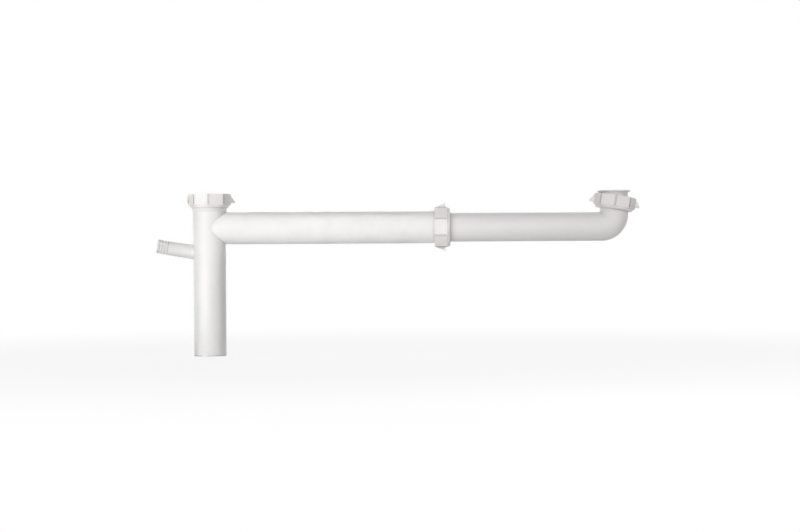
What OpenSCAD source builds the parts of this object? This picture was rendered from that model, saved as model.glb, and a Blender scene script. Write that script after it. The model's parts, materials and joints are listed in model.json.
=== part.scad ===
// End outlet waste for a double bowl sink: a baffle tee with a hose branch, and a slip
// pipe with an elbow that telescopes in the tee's long arm. Sizes are in millimetres.
// The origin is the centre of the tee's outlet end. +Z runs up the tee, +X along the arm.

/* [Tubes] */
// Outside diameter of the slip pipe
pipe_d = 38.1; // [34:0.1:42]
// Wall of the slip pipe and its elbow
pipe_wall = 1.6; // [1.2:0.1:2.4]
// Wall of the tee and its arm
tee_wall = 1.5; // [1.2:0.1:2]
// Gap all round between the slip pipe and the arm
slip_gap = 0.4; // [0.2:0.05:0.8]
// How much wider the upright tube is than the arm
upright_extra = 0.3; // [0.2:0.1:2]
// How far below the branch's axis the tee's slimmer tail ends
tail_drop = 13.5; // [13:0.5:40]
// Height of the step from the tail to the upright
tail_step_h = 2; // [0.5:0.1:2]

/* [Layout] */
// Height of the arm's axis above the outlet end
arm_h = 166; // [130:1:260]
// Distance from the upright's axis to the mouth of the arm
arm_len = 306.7; // [200:0.1:340]
// Distance between the axes of the two inlets
span = 532; // [500:1:620]
// Length of slip pipe inside the arm
insertion = 55; // [30:1:120]
// Height of the tee nut's closed face above the arm's axis
tee_nut_rise = 26.4; // [26:0.1:40]
// Height of the elbow nut's floor above the arm's axis, on the neck
elbow_nut_rise = 24; // [23:0.1:26]
// Lean of the loose elbow nut on its neck, in degrees
elbow_nut_lean = 9; // [0:0.5:9]
// Turn of the elbow nut about its own axis, in degrees
elbow_nut_turn = -8; // [-45:1:45]
// Lean of the loose slip nut on the slip pipe, in degrees
slip_nut_lean = 6; // [0:0.5:6]

/* [Elbow] */
// Radius of the bend on the pipe's centre line
turn_r = 16.6; // [15:0.1:18]
// Outside diameter of the neck above the bend
neck_d = 37.4; // [36:0.1:37.6]
// Height of the cone from the bend to the neck
neck_cone_h = 2.2; // [1:0.1:3]
// Height of the elbow's rim above the arm's axis
rim_rise = 47.4; // [47:0.1:60]
// Diameter of the elbow's rim
rim_d = 43.4; // [42:0.1:45]
// Thickness of the rim of each flange
rim_t = 1.6; // [1.2:0.1:2.4]
// Height of the cone under the elbow's rim
rim_cone_h = 1.6; // [0.6:0.1:2.4]

/* [Tee] */
// Height of the collar under the tee nut
collar_h = 4.3; // [3:0.1:5]
// How far the collar stands out from the upright
collar_out = 1.3; // [0.8:0.1:2]
// How far the tee's rim overlaps the nut's floor
tee_rim_lap = 1.4; // [1:0.1:1.6]
// Thickness of the baffle
baffle_t = 1.6; // [1.2:0.1:3]
// Distance of the baffle from the upright's axis, towards the arm
baffle_x = 5; // [3:0.1:8]
// How far the baffle hangs below the arm's axis
baffle_drop = 15; // [8:0.5:20]
// How far the baffle's slope reaches above and below the top of the arm's bore
baffle_slope = 6; // [3:0.5:8]

/* [Hose branch] */
// Outside diameter of the branch
branch_d = 18; // [16:0.1:22]
// Outside diameter of the branch beside the upright
branch_root_d = 18.6; // [18:0.1:22]
// Distance from the upright's axis to the start of the branch's taper
branch_taper_start = 24; // [22:0.5:30]
// Length of the taper from the branch's root to its straight part
branch_taper_len = 10; // [4:0.5:14]
// Bore of the branch
branch_bore = 13.4; // [10:0.1:14]
// Length of the branch from the upright's axis to its tip
branch_len = 68.4; // [55:0.1:90]
// Rise of the branch towards its tip, in degrees
branch_rise = 9.6; // [0:0.1:20]
// How far below the arm's axis the branch meets the upright's axis
branch_drop = 34.5; // [34:0.1:60]
// Number of grip rings near the tip
grip_rings = 4; // [2:1:6]
// Distance from one grip ring to the next
grip_pitch = 3.6; // [3:0.1:4]
// Depth of the grooves between grip rings
grip_deep = 0.7; // [0.3:0.05:1]

/* [Nuts] */
// Diameter of the thread wall in each nut
thread_d = 47.2; // [46.6:0.1:48]
// Least wall of a nut, outside its thread
nut_wall = 1.6; // [1.4:0.1:1.8]
// Gap all round between the arm's thread and its nut
thread_gap = 0.45; // [0.4:0.05:0.6]
// Width of an end nut across its corners
nut_corner_d = 55.3; // [55:0.1:60]
// Height of an end nut
nut_h = 17.9; // [16:0.1:19]
// Width of the slip nut across its corners
slip_nut_corner_d = 56.8; // [56:0.1:62]
// Height of the slip nut
slip_nut_h = 20.4; // [19:0.1:24]
// Thickness of each nut's floor
nut_floor = 3; // [2.4:0.1:3.4]
// Gap all round between the elbow nut's hole and the pipe's size
nut_hole_gap = 0.45; // [0.4:0.05:0.7]
// Gap all round between the slip nut's hole and the slip pipe
slip_hole_gap = 1.35; // [1.3:0.05:1.6]
// Gap between the tee's nut and what it turns on
seat_gap = 0.3; // [0.2:0.05:0.5]
// Height of the round shoulder at a nut's closed face
shoulder_h = 3.6; // [3.5:0.1:4.4]
// Rounding of the shoulder
shoulder_round = 2.4; // [1:0.1:2.6]
// Reach of a wing past the nut's corners
wing_reach = 5.8; // [4:0.1:9]
// Thickness of a wing
wing_t = 4; // [3:0.1:6]
// Height of a wing's flat edge above the closed face
wing_low = 6.4; // [5:0.1:8]
// Height of a wing at its tip
wing_tip_h = 1.8; // [1:0.1:3]
// How far below a nut's open face its wings end
wing_top_gap = 1.8; // [1:0.1:3]
// Width of the grooves along a nut's corners
corner_groove_w = 2.4; // [1.6:0.1:3.2]
// Depth of the grooves, from a corner's edge
corner_groove_deep = 1.7; // [1:0.1:2]
// Height of the relief cut beside an end nut's floor
relief_h = 2.8; // [2.7:0.1:3.5]

/* [Slip seal] */
// Length of the threaded end of the arm
thread_len = 6.6; // [5:0.1:6.6]
// Thickness of the seal's flat ring
seal_ring_t = 2; // [1.5:0.1:2.5]
// Length of the seal's taper
seal_taper_len = 6; // [4:0.1:8]
// Diameter of the seal's flat ring
seal_d = 44.6; // [44:0.1:45]
// Diameter of the seal's thin end
seal_tip_d = 40; // [39.8:0.1:41.5]
// Distance from the arm's mouth to the seal's flat ring
seal_lift = 0.6; // [0.4:0.1:0.8]
// Gap all round between the seal and what it fits
seal_gap = 0.15; // [0.1:0.01:0.2]

/* [Hidden] */
white_plastic = [0.93, 0.93, 0.92];
nut_plastic = [0.95, 0.95, 0.94];
seal_plastic = [0.84, 0.87, 0.88];
round_fn = 128;
edge_fn = 48;
// A cut runs this far past the face it opens
past = 1;

// Radii of the tubes
pipe_r = pipe_d / 2;
arm_bore_r = pipe_r + slip_gap;
arm_r = arm_bore_r + tee_wall;
upright_r = arm_r + upright_extra / 2;
upright_bore_r = upright_r - tee_wall;
neck_r = neck_d / 2;

// The bore of the elbow bends a little wider than the outside, which keeps its corner round
bore_corner_r = 0.3;
bore_turn_r = pipe_r - pipe_wall + bore_corner_r;

// The nuts: eight sides, with a hole that clears the tube they turn on
nut_sides = 8;
wings = 2;
corner_step = 360 / nut_sides;
thread_r = thread_d / 2;
pipe_hole_r = pipe_r + nut_hole_gap;
slip_hole_r = pipe_r + slip_hole_gap;
upright_hole_r = upright_r + seat_gap;
shoulder_r = thread_r + nut_wall;
relief_out = 0.3;
// The eight-sided part of a nut starts this far inside its shoulder
shoulder_lap = 0.2;

// Heights on the upright
tee_nut_z = arm_h + tee_nut_rise;
collar_top = tee_nut_z - seat_gap;
collar_r = upright_r + collar_out;
collar_taper = collar_h / 3;
tee_rim_z = tee_nut_z + nut_floor + seat_gap;
tee_top = tee_rim_z + rim_t;
tee_rim_r = upright_hole_r + tee_rim_lap;

// The seal and its face against the slip nut
seal_r = seal_d / 2;
seal_tip_r = seal_tip_d / 2;
seal_face = arm_len + seal_ring_t + seal_lift;

// The slip nut leans about a point between its floor and its thread, clear of the seal
pivot_in = 7.8;
lean_room = seal_r * tan(slip_nut_lean);
slip_nut_pivot = nut_floor + pivot_in;
slip_nut_x = seal_face + seal_gap + lean_room + nut_floor - slip_nut_pivot;
thread_start = arm_len - thread_len;
pipe_end = arm_len - insertion;

// The seal's taper and the seat it is pressed into
seal_slope = (seal_r - seal_tip_r) / seal_taper_len;
seat_mouth_r = seal_r - seal_slope * seal_lift + seal_gap;
seat_len = (seat_mouth_r - arm_bore_r) / seal_slope;

// Baffle: it leaves the wall above the arm and hangs beside its opening
baffle_top = arm_bore_r + baffle_slope;
baffle_bend = arm_bore_r - baffle_slope;

// Draws one turned outline with a rounded lower edge
module shoulder_outline() {
    square([shoulder_r - shoulder_round, shoulder_h]);
    translate([0, shoulder_round])
        square([shoulder_r, shoulder_h - shoulder_round]);
    translate([shoulder_r - shoulder_round, shoulder_round])
        circle(r = shoulder_round, $fn = edge_fn);
}

// One gusset wing, standing on the +X side of a nut
module wing(root_r, height) {
    tip_r = root_r + wing_reach;
    in_r = thread_r + nut_wall / 2;
    translate([0, wing_t / 2, 0])
        rotate([90, 0, 0])
            linear_extrude(wing_t)
                polygon([
                    [in_r, wing_low],
                    [tip_r, wing_low],
                    [tip_r, wing_low + wing_tip_h],
                    [root_r, height - wing_top_gap],
                    [in_r, height - wing_top_gap]
                ]);
}

// The solid form of a winged nut, closed face at z = 0. turn sets the corners beside the wings
module nut_form(corner_d, height, turn) {
    corner_r = corner_d / 2;
    difference() {
        union() {
            rotate_extrude($fn = round_fn)
                shoulder_outline();
            translate([0, 0, shoulder_h - shoulder_lap])
                rotate([0, 0, turn])
                    cylinder(r = corner_r, h = height - shoulder_h + shoulder_lap, $fn = nut_sides);
        }
        for (i = [0 : nut_sides - 1])
            rotate([0, 0, turn + i * corner_step])
                corner_groove(corner_r, height, turn == 0 && i % (nut_sides / wings) == 0);
    }
    for (i = [0 : wings - 1])
        rotate([0, 0, i * 360 / wings])
            wing(turn == 0 ? corner_r : corner_r * cos(corner_step / 2), height);
}

// A groove along one corner. Corners that carry a wing have none
module corner_groove(corner_r, height, winged) {
    if (!winged)
        translate([corner_r - corner_groove_deep, -corner_groove_w / 2, shoulder_h + past])
            cube([corner_groove_deep + past, corner_groove_w, height]);
}

// A nut for a flanged end, with a relief cut beside its floor for the flange
module end_nut(hole_r) {
    difference() {
        nut_form(nut_corner_d, nut_h, 0);
        translate([0, 0, -past])
            cylinder(r = hole_r, h = nut_h, $fn = round_fn);
        translate([0, 0, nut_floor])
            cylinder(r = thread_r + relief_out, h = relief_h, $fn = round_fn);
        translate([0, 0, nut_floor])
            cylinder(r = thread_r, h = nut_h, $fn = round_fn);
    }
}

// Outside of the hose branch, along +Z from the upright's axis
module branch_outside() {
    grip_len = grip_rings * grip_pitch;
    branch_r = branch_d / 2;
    branch_root_r = branch_root_d / 2;
    cylinder(r = branch_root_r, h = branch_taper_start, $fn = round_fn);
    translate([0, 0, branch_taper_start])
        cylinder(r1 = branch_root_r, r2 = branch_r, h = branch_taper_len, $fn = round_fn);
    cylinder(r = branch_r, h = branch_len - grip_len, $fn = round_fn);
    for (i = [0 : grip_rings - 1])
        translate([0, 0, branch_len - grip_len + i * grip_pitch])
            cylinder(r = branch_r - grip_deep, h = grip_pitch / 3, $fn = round_fn);
    for (i = [0 : grip_rings - 1])
        translate([0, 0, branch_len - grip_len + (i + 1 / 3) * grip_pitch])
            cylinder(r1 = branch_r, r2 = branch_r - grip_deep / 2, h = grip_pitch * 2 / 3,
                $fn = round_fn);
}

// Puts its child on the branch's axis, with +Z towards the tip
module on_branch() {
    translate([0, 0, arm_h - branch_drop])
        rotate([0, branch_rise - 90, 0])
            children();
}

// Puts its child on the arm's axis, with +Z towards the elbow
module on_arm(x) {
    translate([x, 0, arm_h])
        rotate([0, 90, 0])
            children();
}

// The tee as one filled form
module tee_outside() {
    tail_top = arm_h - branch_drop - tail_drop;
    cylinder(r = arm_r, h = tail_top, $fn = round_fn);
    translate([0, 0, tail_top])
        cylinder(r1 = arm_r, r2 = upright_r, h = tail_step_h, $fn = round_fn);
    translate([0, 0, tail_top + tail_step_h])
        cylinder(r = upright_r, h = tee_top - tail_top - tail_step_h, $fn = round_fn);
    translate([0, 0, collar_top - collar_h])
        cylinder(r1 = upright_r, r2 = collar_r, h = collar_taper, $fn = round_fn);
    translate([0, 0, collar_top - collar_h + collar_taper])
        cylinder(r = collar_r, h = collar_h - collar_taper, $fn = round_fn);
    translate([0, 0, tee_rim_z])
        cylinder(r = tee_rim_r, h = rim_t, $fn = round_fn);
    on_arm(0)
        cylinder(r = arm_r, h = arm_len, $fn = round_fn);
    on_arm(thread_start)
        cylinder(r = thread_r - thread_gap, h = thread_len, $fn = round_fn);
    on_branch()
        branch_outside();
}

// The tee's waterway: the upright, the arm, the branch and the seal's tapered seat
module tee_inside() {
    translate([0, 0, -past])
        cylinder(r = upright_bore_r, h = tee_top + 2 * past, $fn = round_fn);
    on_arm(0)
        cylinder(r = arm_bore_r, h = arm_len + past, $fn = round_fn);
    on_arm(arm_len - seat_len)
        cylinder(r1 = arm_bore_r, r2 = seat_mouth_r, h = seat_len, $fn = round_fn);
    on_branch()
        cylinder(r = branch_bore / 2, h = branch_len + past, $fn = round_fn);
}

// The baffle's plate, drawn wider than the upright. Only its part in the waterway stays
module baffle() {
    wide = 3 * upright_r;
    translate([0, wide / 2, arm_h])
        rotate([90, 0, 0])
            linear_extrude(wide)
                polygon([
                    [baffle_x, -baffle_drop],
                    [baffle_x + baffle_t, -baffle_drop],
                    [baffle_x + baffle_t, baffle_bend],
                    [upright_r, baffle_top - baffle_t],
                    [upright_r, baffle_top],
                    [baffle_x, baffle_bend + baffle_t]
                ]);
}

module waste_tee() {
    color(white_plastic)
        difference() {
            tee_outside();
            difference() {
                tee_inside();
                baffle();
            }
        }
}

module tee_nut() {
    color(nut_plastic)
        translate([0, 0, tee_nut_z])
            end_nut(upright_hole_r);
}

// The slip nut closes over the seal, with its open side towards the tee
module slip_nut() {
    color(nut_plastic)
        translate([slip_nut_x, 0, arm_h])
            rotate([0, 0, -slip_nut_lean])
                rotate([0, -90, 0])
                    translate([0, 0, -slip_nut_pivot])
                        difference() {
                            nut_form(slip_nut_corner_d, slip_nut_h, corner_step / 2);
                            translate([0, 0, -past])
                                cylinder(r = slip_hole_r, h = slip_nut_h, $fn = round_fn);
                            translate([0, 0, nut_floor])
                                cylinder(r = thread_r, h = slip_nut_h, $fn = round_fn);
                        }
}

// The tapered seal between the arm's mouth and the slip nut's floor
module slip_washer() {
    taper_start = seal_face - seal_ring_t - seal_taper_len;
    color(seal_plastic)
        difference() {
            union() {
                on_arm(seal_face - seal_ring_t)
                    cylinder(r = seal_r, h = seal_ring_t, $fn = round_fn);
                on_arm(taper_start)
                    cylinder(r1 = seal_tip_r, r2 = seal_r, h = seal_taper_len, $fn = round_fn);
            }
            on_arm(taper_start - past)
                cylinder(r = pipe_r + seal_gap, h = seal_taper_len + seal_ring_t + 2 * past,
                    $fn = round_fn);
        }
}

// Pipe, bend and neck as one filled form. over runs both ends past the real ones
module elbow_form(straight_r, up_r, bend_r, over) {
    on_arm(pipe_end - over)
        cylinder(r = straight_r, h = span - bend_r - pipe_end + over, $fn = round_fn);
    translate([span - bend_r, 0, arm_h + bend_r])
        rotate([90, 0, 0])
            rotate([0, 0, -90])
                rotate_extrude(angle = 90, $fn = round_fn)
                    intersection() {
                        translate([bend_r, 0])
                            circle(r = straight_r, $fn = round_fn);
                        translate([0, -straight_r])
                            square([bend_r + straight_r, 2 * straight_r]);
                    }
    translate([span, 0, arm_h + bend_r])
        cylinder(r1 = straight_r, r2 = up_r, h = neck_cone_h, $fn = round_fn);
    translate([span, 0, arm_h + bend_r + neck_cone_h])
        cylinder(r = up_r, h = rim_rise - bend_r - neck_cone_h + over, $fn = round_fn);
}

module slip_elbow() {
    rim_r = rim_d / 2;
    color(white_plastic)
        difference() {
            union() {
                elbow_form(pipe_r, neck_r, turn_r, 0);
                translate([span, 0, arm_h + rim_rise - rim_t])
                    cylinder(r = rim_r, h = rim_t, $fn = round_fn);
                translate([span, 0, arm_h + rim_rise - rim_t - rim_cone_h])
                    cylinder(r1 = neck_r, r2 = (neck_r + rim_r) / 2, h = rim_cone_h,
                        $fn = round_fn);
            }
            elbow_form(pipe_r - pipe_wall, neck_r - pipe_wall, bore_turn_r, past);
        }
}

// The elbow's nut hangs loose on the neck and leans until its floor meets it
module elbow_nut() {
    color(nut_plastic)
        translate([span, 0, arm_h + elbow_nut_rise])
            rotate([0, elbow_nut_lean, 0])
                rotate([0, 0, elbow_nut_turn])
                    translate([0, 0, -nut_floor / 2])
                        end_nut(pipe_hole_r);
}

waste_tee();
tee_nut();
slip_nut();
slip_washer();
slip_elbow();
elbow_nut();
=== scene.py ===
import json
import math

import bmesh
import bpy
from mathutils import Matrix, Vector


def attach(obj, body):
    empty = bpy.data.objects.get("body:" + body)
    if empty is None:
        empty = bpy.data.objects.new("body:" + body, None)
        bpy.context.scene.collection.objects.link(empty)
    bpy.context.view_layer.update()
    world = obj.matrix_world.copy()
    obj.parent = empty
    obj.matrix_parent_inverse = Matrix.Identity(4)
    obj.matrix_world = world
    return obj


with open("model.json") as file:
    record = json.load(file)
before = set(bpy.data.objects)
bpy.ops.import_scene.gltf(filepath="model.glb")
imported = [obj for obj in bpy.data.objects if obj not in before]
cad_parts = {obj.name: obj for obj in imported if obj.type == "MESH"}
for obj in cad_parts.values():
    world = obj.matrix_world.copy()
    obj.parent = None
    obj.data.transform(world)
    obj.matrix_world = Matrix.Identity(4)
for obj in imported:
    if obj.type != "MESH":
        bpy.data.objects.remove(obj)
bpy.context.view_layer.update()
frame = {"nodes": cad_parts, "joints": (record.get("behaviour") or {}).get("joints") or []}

MM = 0.001

# Patterns in the moulded plastic, in repeats a metre
CLOUDS = 38
SMEARS = 120
SINK_MARKS = 55
# Hollows and gaps narrower than this get painted shade, which darkens their colour
PAINTED_SHADE_REACH = 4 * MM
GRAIN_DEEP = 0.02 * MM

# Where the arm grows from the upright, the arm's painted light ends in a rounded nose edged with
# painted shade: how blunt that nose is, and how wide the painted crease
PAINTED_NOSE_ROUND = 20 * MM
PAINTED_CREASE_WIDE = 5 * MM

# The ridge of a nut's thread, on the wall that the nuts' solids have
THREAD_WALL = 23.6 * MM
THREAD_DEEP = 0.8 * MM
THREAD_SUNK = 0.2 * MM
THREAD_PITCH = 2.2 * MM
THREAD_FOOT = 0.36 * THREAD_PITCH
THREAD_TIP = 0.1 * THREAD_PITCH
STEPS_A_TURN = 72
# Where a thread starts and ends above its nut's closed face
END_NUT_THREAD = (6.2 * MM, 17 * MM)
SLIP_NUT_THREAD = (17.4 * MM, 20.2 * MM)
# How far a nut's closed face lies below the place of its hinge
ELBOW_NUT_SEAT = 1.5 * MM
SLIP_NUT_SEAT = 10.8 * MM

# The middle of the pipe's length, which the floor and some lamps are centred on
MIDDLE = 0.25
FLOOR_HALF = 6
# Near the pipe this much of the floor's colour is plain white, and the rest is lit and holds
# the shadow. Between these two distances from the middle it all turns white
WHITE_NEAR = 0.86
WHITER_FROM = 0.35
ALL_WHITE_FROM = 1.1
ROOM_LIGHT = 0.16

CAMERA_PLACE = (0.11333, -2.2, 0.11532)
CAMERA_TURN = -0.06127
CAMERA_ROLL = -0.00636
CAMERA_LENS = 75.555

joints = {joint["name"]: joint for joint in frame["joints"]}
arm_height = joints["elbow_swivel"]["pos_m"][2]


# Finishes

def add_node(tree, kind, place, **settings):
    node = tree.nodes.new(kind)
    node.location = place
    for name, value in settings.items():
        setattr(node, name, value)
    return node


def moulded_surface_group():
    """Mottled colour, painted shade in hollows and between close parts, uneven gloss, soft edges and
    a polished mould's fine grain.
    """
    group = bpy.data.node_groups.new("moulded_surface", "ShaderNodeTree")
    face = group.interface
    for name, kind, start in (
        ("Plastic", "NodeSocketColor", (0.8, 0.8, 0.8, 1)),
        ("Cloud", "NodeSocketColor", (0.7, 0.7, 0.7, 1)),
        ("Cloud Amount", "NodeSocketFloat", 0.3),
        ("Least Roughness", "NodeSocketFloat", 0.3),
        ("Most Roughness", "NodeSocketFloat", 0.4),
        ("Grain Scale", "NodeSocketFloat", 1500.0),
        ("Soft Edge", "NodeSocketFloat", 0.2 * MM),
    ):
        socket = face.new_socket(name=name, in_out="INPUT", socket_type=kind)
        socket.default_value = start
    face.new_socket(name="Color", in_out="OUTPUT", socket_type="NodeSocketColor")
    face.new_socket(name="Roughness", in_out="OUTPUT", socket_type="NodeSocketFloat")
    face.new_socket(name="Normal", in_out="OUTPUT", socket_type="NodeSocketVector")
    link = group.links.new
    given = add_node(group, "NodeGroupInput", (-900, 0))
    result = add_node(group, "NodeGroupOutput", (700, 0))
    place = add_node(group, "ShaderNodeTexCoord", (-900, -300))

    cloud = add_node(group, "ShaderNodeTexNoise", (-600, 200))
    cloud.inputs["Scale"].default_value = CLOUDS
    cloud.inputs["Detail"].default_value = 5
    cloud.inputs["Roughness"].default_value = 0.6
    clouded = add_node(group, "ShaderNodeMapRange", (-400, 200))
    clouded.inputs["From Min"].default_value = 0.35
    clouded.inputs["From Max"].default_value = 0.7
    amount = add_node(group, "ShaderNodeMath", (-200, 200), operation="MULTIPLY")
    colour = add_node(group, "ShaderNodeMix", (100, 200), data_type="RGBA")
    link(place.outputs["Object"], cloud.inputs["Vector"])
    link(cloud.outputs["Fac"], clouded.inputs["Value"])
    link(clouded.outputs["Result"], amount.inputs[0])
    link(given.outputs["Cloud Amount"], amount.inputs[1])
    link(amount.outputs[0], colour.inputs["Factor"])
    link(given.outputs["Plastic"], colour.inputs["A"])
    link(given.outputs["Cloud"], colour.inputs["B"])

    # Painted shade: the colour is darkened where other surfaces lie close by, in hollows, grooves
    # and under the nuts
    painted_hollow_shade = add_node(group, "ShaderNodeAmbientOcclusion", (-200, 450), samples=8)
    painted_hollow_shade.inputs["Distance"].default_value = PAINTED_SHADE_REACH
    shade = add_node(group, "ShaderNodeMapRange", (0, 450))
    shade.inputs["From Min"].default_value = 0.3
    shade.inputs["From Max"].default_value = 0.85
    shade.inputs["To Min"].default_value = 0.5
    shaded = add_node(group, "ShaderNodeVectorMath", (350, 200), operation="SCALE")
    link(painted_hollow_shade.outputs["AO"], shade.inputs["Value"])
    link(colour.outputs["Result"], shaded.inputs[0])
    link(shade.outputs["Result"], shaded.inputs["Scale"])
    link(shaded.outputs["Vector"], result.inputs["Color"])

    smear = add_node(group, "ShaderNodeTexNoise", (-600, -100))
    smear.inputs["Scale"].default_value = SMEARS
    smear.inputs["Detail"].default_value = 4
    gloss = add_node(group, "ShaderNodeMapRange", (-200, -100))
    link(place.outputs["Object"], smear.inputs["Vector"])
    link(smear.outputs["Fac"], gloss.inputs["Value"])
    link(given.outputs["Least Roughness"], gloss.inputs["To Min"])
    link(given.outputs["Most Roughness"], gloss.inputs["To Max"])
    link(gloss.outputs["Result"], result.inputs["Roughness"])

    grain = add_node(group, "ShaderNodeTexNoise", (-600, -400))
    grain.inputs["Detail"].default_value = 3
    sink = add_node(group, "ShaderNodeTexNoise", (-600, -650))
    sink.inputs["Scale"].default_value = SINK_MARKS
    sink.inputs["Detail"].default_value = 1
    height = add_node(group, "ShaderNodeMath", (-200, -500), operation="MULTIPLY_ADD")
    height.inputs[1].default_value = 6
    soft_edge = add_node(group, "ShaderNodeBevel", (0, -700), samples=6)
    bump = add_node(group, "ShaderNodeBump", (250, -500))
    bump.inputs["Strength"].default_value = 0.35
    bump.inputs["Distance"].default_value = GRAIN_DEEP
    link(given.outputs["Grain Scale"], grain.inputs["Scale"])
    link(place.outputs["Object"], grain.inputs["Vector"])
    link(place.outputs["Object"], sink.inputs["Vector"])
    link(sink.outputs["Fac"], height.inputs[0])
    link(grain.outputs["Fac"], height.inputs[2])
    link(given.outputs["Soft Edge"], soft_edge.inputs["Radius"])
    link(soft_edge.outputs["Normal"], bump.inputs["Normal"])
    link(height.outputs[0], bump.inputs["Height"])
    link(bump.outputs["Normal"], result.inputs["Normal"])
    return group


def moulded_plastic(name, surface, plastic, cloud, cloud_amount, roughness, grain, soft_edge):
    finish = bpy.data.materials.new(name)
    finish.use_nodes = True
    tree = finish.node_tree
    shader = tree.nodes["Principled BSDF"]
    shader.inputs["IOR"].default_value = 1.49
    moulded = add_node(tree, "ShaderNodeGroup", (-500, 0), node_tree=surface)
    moulded.inputs["Plastic"].default_value = (*plastic, 1)
    moulded.inputs["Cloud"].default_value = (*cloud, 1)
    moulded.inputs["Cloud Amount"].default_value = cloud_amount
    moulded.inputs["Least Roughness"].default_value = roughness[0]
    moulded.inputs["Most Roughness"].default_value = roughness[1]
    moulded.inputs["Grain Scale"].default_value = grain
    moulded.inputs["Soft Edge"].default_value = soft_edge
    link = tree.links.new
    link(moulded.outputs["Color"], shader.inputs["Base Color"])
    link(moulded.outputs["Roughness"], shader.inputs["Roughness"])
    link(moulded.outputs["Normal"], shader.inputs["Normal"])
    return finish


def paint_arm_light_and_crease_shade(finish, arm_painted_light, crease_painted_shade):
    """Paints the arm lighter than the upright it grows from, as painted light, with a line of
    painted shade along a soft, rounded crease between them.
    """
    tree = finish.node_tree
    moulded = next(node for node in tree.nodes if node.type == "GROUP")
    place = add_node(tree, "ShaderNodeTexCoord", (-1700, 300))
    axes = add_node(tree, "ShaderNodeSeparateXYZ", (-1500, 300))
    off_axis = add_node(tree, "ShaderNodeMath", (-1300, 200), operation="SUBTRACT")
    off_axis.inputs[1].default_value = arm_height
    squared = add_node(tree, "ShaderNodeMath", (-1150, 200), operation="POWER")
    squared.inputs[1].default_value = 2
    past_nose = add_node(tree, "ShaderNodeMath", (-1000, 300), operation="MULTIPLY_ADD")
    past_nose.inputs[1].default_value = -1 / PAINTED_NOSE_ROUND
    share = add_node(tree, "ShaderNodeMapRange", (-850, 300), interpolation_type="SMOOTHSTEP")
    share.inputs["From Max"].default_value = PAINTED_CREASE_WIDE
    # Painted light and shade: the upright's colour, a darker painted shade line at the crease, then
    # the arm's lighter painted light
    colour = add_node(tree, "ShaderNodeValToRGB", (-700, 200))
    ramp = colour.color_ramp
    ramp.elements[0].color = moulded.inputs["Plastic"].default_value
    ramp.elements[1].color = (*arm_painted_light, 1)
    crease = ramp.elements.new(0.5)
    crease.color = (*crease_painted_shade, 1)
    link = tree.links.new
    link(place.outputs["Object"], axes.inputs["Vector"])
    link(axes.outputs["Z"], off_axis.inputs[0])
    link(off_axis.outputs[0], squared.inputs[0])
    link(squared.outputs[0], past_nose.inputs[0])
    link(axes.outputs["X"], past_nose.inputs[2])
    link(past_nose.outputs[0], share.inputs["Value"])
    link(share.outputs["Result"], colour.inputs["Fac"])
    link(colour.outputs["Color"], moulded.inputs["Plastic"])


surface = moulded_surface_group()
tee_plastic = moulded_plastic(
    "tee_plastic", surface, plastic=(0.83, 0.815, 0.808), cloud=(0.8, 0.785, 0.778),
    cloud_amount=0.4, roughness=(0.4, 0.5), grain=1400, soft_edge=0.3 * MM)
# Painted light on the arm and painted shade along the crease where it meets the upright
paint_arm_light_and_crease_shade(tee_plastic, arm_painted_light=(0.92, 0.905, 0.89), crease_painted_shade=(0.78, 0.755, 0.75))
pipe_plastic = moulded_plastic(
    "pipe_plastic", surface, plastic=(0.82, 0.798, 0.792), cloud=(0.79, 0.765, 0.76),
    cloud_amount=0.5, roughness=(0.32, 0.42), grain=1400, soft_edge=0.3 * MM)
nut_plastic = moulded_plastic(
    "nut_plastic", surface, plastic=(0.89, 0.862, 0.852), cloud=(0.86, 0.832, 0.822),
    cloud_amount=0.5, roughness=(0.44, 0.54), grain=1100, soft_edge=0.2 * MM)
seal_plastic = moulded_plastic(
    "seal_plastic", surface, plastic=(0.74, 0.77, 0.78), cloud=(0.68, 0.71, 0.72),
    cloud_amount=0.5, roughness=(0.5, 0.62), grain=900, soft_edge=0.2 * MM)

FINISHES = {
    "waste_tee": tee_plastic,
    "slip_elbow": pipe_plastic,
    "tee_nut": nut_plastic,
    "slip_nut": nut_plastic,
    "elbow_nut": nut_plastic,
    "slip_washer": seal_plastic,
}
for node, finish in FINISHES.items():
    for slot in frame["nodes"][node].material_slots:
        slot.material = finish


# Threads inside the nuts

def nut_place(joint, up, seat):
    """Puts a nut's own z axis on its hinge, up or down it, with the closed face at its seat."""
    hinge = joints[joint]
    along = Vector(hinge["axis"]) * up
    turn = Vector((0, 0, 1)).rotation_difference(along).to_matrix().to_4x4()
    return Matrix.Translation(Vector(hinge["pos_m"])) @ turn @ Matrix.Translation((0, 0, -seat))


def nut_thread(name, body, span, place):
    """A ridge that climbs round the inside of a nut, from the low to the high end of its span."""
    low, high = span
    mesh = bpy.data.meshes.new(name)
    bm = bmesh.new()
    root = THREAD_WALL + THREAD_SUNK
    crest = THREAD_WALL - THREAD_DEEP
    start = low + THREAD_FOOT
    corners = [
        (root, 0, start - THREAD_FOOT), (crest, 0, start - THREAD_TIP),
        (crest, 0, start + THREAD_TIP), (root, 0, start + THREAD_FOOT),
    ]
    face = bm.faces.new([bm.verts.new(corner) for corner in corners])
    turns = (high - low - 2 * THREAD_FOOT) / THREAD_PITCH
    steps = round(turns * STEPS_A_TURN)
    bmesh.ops.spin(
        bm, geom=[face, *face.edges, *face.verts], cent=(0, 0, 0), axis=(0, 0, 1),
        dvec=(0, 0, THREAD_PITCH / STEPS_A_TURN), angle=turns * math.tau, steps=steps,
        use_merge=False, use_duplicate=False)
    bmesh.ops.recalc_face_normals(bm, faces=bm.faces)
    bmesh.ops.transform(bm, matrix=place, verts=bm.verts)
    bm.to_mesh(mesh)
    bm.free()
    thread = bpy.data.objects.new(name, mesh)
    bpy.context.collection.objects.link(thread)
    mesh.materials.append(nut_plastic)
    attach(thread, body)


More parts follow.
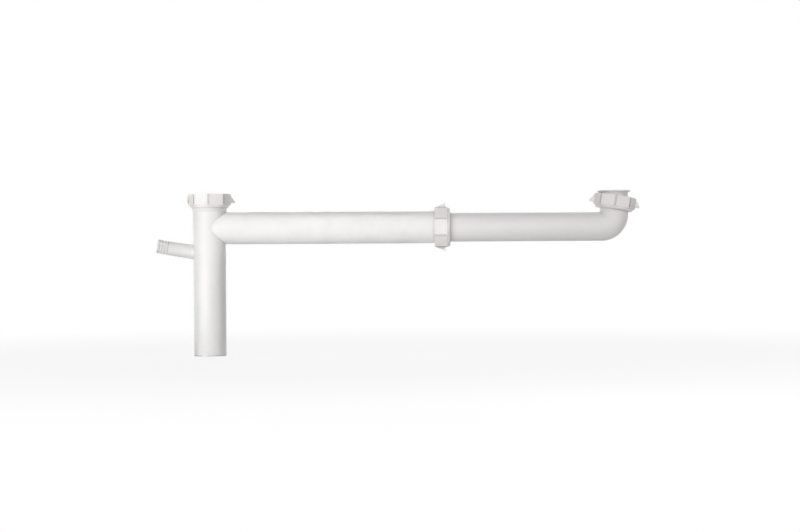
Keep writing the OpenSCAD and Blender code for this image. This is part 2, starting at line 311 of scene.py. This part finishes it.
tee_nut_place = nut_place("tee_nut_turn", 1, 0)
elbow_nut_place = nut_place("elbow_nut_turn", 1, ELBOW_NUT_SEAT)
slip_nut_place = nut_place("slip_nut_turn", -1, SLIP_NUT_SEAT)
nut_thread("tee_nut_thread", "tee_nut", END_NUT_THREAD, tee_nut_place)
nut_thread("elbow_nut_thread", "elbow_nut", END_NUT_THREAD, elbow_nut_place)
nut_thread("slip_nut_thread", "slip_nut", SLIP_NUT_THREAD, slip_nut_place)


# Floor, light and camera

def seen_straight(tree):
    """1 where the camera looks straight at the white, or through glass or a mirror, else 0."""
    path = add_node(tree, "ShaderNodeLightPath", (-700, 200))
    mirrored = add_node(tree, "ShaderNodeMath", (-450, 200), operation="MAXIMUM")
    through = add_node(tree, "ShaderNodeMath", (-250, 200), operation="MAXIMUM")
    link = tree.links.new
    link(path.outputs["Is Camera Ray"], mirrored.inputs[0])
    link(path.outputs["Is Glossy Ray"], mirrored.inputs[1])
    link(mirrored.outputs[0], through.inputs[0])
    link(path.outputs["Is Transmission Ray"], through.inputs[1])
    return through.outputs[0]


def floor_paper():
    """White paper, lit a little near the pipe, so that it keeps the pipe's shadow."""
    paper = bpy.data.materials.new("floor_paper")
    paper.use_nodes = True
    tree = paper.node_tree
    out = tree.nodes["Material Output"]
    lit = tree.nodes["Principled BSDF"]
    lit.inputs["Base Color"].default_value = (0.8, 0.8, 0.8, 1)
    lit.inputs["Roughness"].default_value = 0.9
    white = add_node(tree, "ShaderNodeEmission", (-200, -200))
    white.inputs["Color"].default_value = (1, 1, 1, 1)
    place = add_node(tree, "ShaderNodeTexCoord", (-900, 500))
    away = add_node(tree, "ShaderNodeVectorMath", (-700, 500), operation="DISTANCE")
    away.inputs[1].default_value = (MIDDLE, 0, 0)
    fade = add_node(tree, "ShaderNodeMapRange", (-500, 500), interpolation_type="SMOOTHSTEP")
    fade.inputs["From Min"].default_value = WHITER_FROM
    fade.inputs["From Max"].default_value = ALL_WHITE_FROM
    fade.inputs["To Min"].default_value = WHITE_NEAR
    share = add_node(tree, "ShaderNodeMath", (-50, 200), operation="MULTIPLY")
    mix = add_node(tree, "ShaderNodeMixShader", (150, 0))
    link = tree.links.new
    link(place.outputs["Object"], away.inputs[0])
    link(away.outputs["Value"], fade.inputs["Value"])
    link(seen_straight(tree), share.inputs[0])
    link(fade.outputs["Result"], share.inputs[1])
    link(share.outputs[0], mix.inputs["Fac"])
    link(lit.outputs["BSDF"], mix.inputs[1])
    link(white.outputs["Emission"], mix.inputs[2])
    link(mix.outputs["Shader"], out.inputs["Surface"])
    return paper


def make_floor():
    mesh = bpy.data.meshes.new("floor")
    bm = bmesh.new()
    bmesh.ops.create_grid(bm, x_segments=2, y_segments=2, size=FLOOR_HALF)
    bmesh.ops.translate(bm, vec=(MIDDLE, 0, 0), verts=bm.verts)
    bm.to_mesh(mesh)
    bm.free()
    floor = bpy.data.objects.new("floor", mesh)
    bpy.context.collection.objects.link(floor)
    mesh.materials.append(floor_paper())


def make_world():
    """A room that lights the pipe dimly from all round and looks plain white itself."""
    world = bpy.data.worlds.new("studio")
    world.use_nodes = True
    bpy.context.scene.world = world
    tree = world.node_tree
    out = tree.nodes["World Output"]
    room = tree.nodes["Background"]
    room.inputs["Color"].default_value = (1, 1, 1, 1)
    room.inputs["Strength"].default_value = ROOM_LIGHT
    white = add_node(tree, "ShaderNodeBackground", (0, -200))
    white.inputs["Color"].default_value = (1, 1, 1, 1)
    white.inputs["Strength"].default_value = 1
    mix = add_node(tree, "ShaderNodeMixShader", (250, 0))
    link = tree.links.new
    link(seen_straight(tree), mix.inputs["Fac"])
    link(room.outputs["Background"], mix.inputs[1])
    link(white.outputs["Background"], mix.inputs[2])
    link(mix.outputs["Shader"], out.inputs["Surface"])


def soft_box(name, place, aim, size, watts, spread=180):
    """An area lamp with a grid. spread is the angle in degrees at which light leaves it."""
    lamp = bpy.data.lights.new(name, "AREA")
    lamp.shape = "RECTANGLE"
    lamp.size, lamp.size_y = size
    lamp.energy = watts
    lamp.spread = math.radians(spread)
    box = bpy.data.objects.new(name, lamp)
    box.location = place
    box.rotation_euler = (Vector(aim) - Vector(place)).to_track_quat("-Z", "Y").to_euler()
    bpy.context.collection.objects.link(box)


def make_camera():
    """A long lens, a little nearer to the tee than to the elbow."""
    lens = bpy.data.cameras.new("camera")
    lens.sensor_width = 36
    lens.lens = CAMERA_LENS
    camera = bpy.data.objects.new("camera", lens)
    turn = Matrix.Rotation(CAMERA_TURN, 3, "Z")
    level = Matrix.Rotation(math.pi / 2, 3, "X")
    roll = Matrix.Rotation(CAMERA_ROLL, 3, "Z")
    camera.location = CAMERA_PLACE
    camera.rotation_euler = (turn @ level @ roll).to_euler()
    bpy.context.collection.objects.link(camera)
    bpy.context.scene.camera = camera


make_floor()
make_world()
# The left box has a narrow grid and lights the tee's end more than the rest
soft_box("left_box", (-1.4, -1.9, 0.2), aim=(0.08, 0, 0.15), size=(0.5, 0.35), watts=0.45, spread=17)
soft_box("far_box", (-1.85, -2.36, 0.2), aim=(0.1, 0, arm_height), size=(1, 0.4), watts=7.7)
soft_box("front_box", (0.45, -1, 0.2), aim=(0.45, 0, arm_height), size=(0.3, 0.3), watts=1.7)
soft_box("right_box", (1.1, -0.8, 0.45), aim=(0.53, 0, 0.19), size=(0.3, 0.3), watts=1.6)
soft_box("top_box", (MIDDLE, -0.8, 1.5), aim=(MIDDLE, 0, arm_height), size=(1.2, 0.6), watts=3)
soft_box("back_box", (MIDDLE, 2.4, 0.7), aim=(MIDDLE, 0, 0.12), size=(2.2, 1), watts=30)
make_camera()
bpy.context.scene.view_settings.view_transform = "Standard"
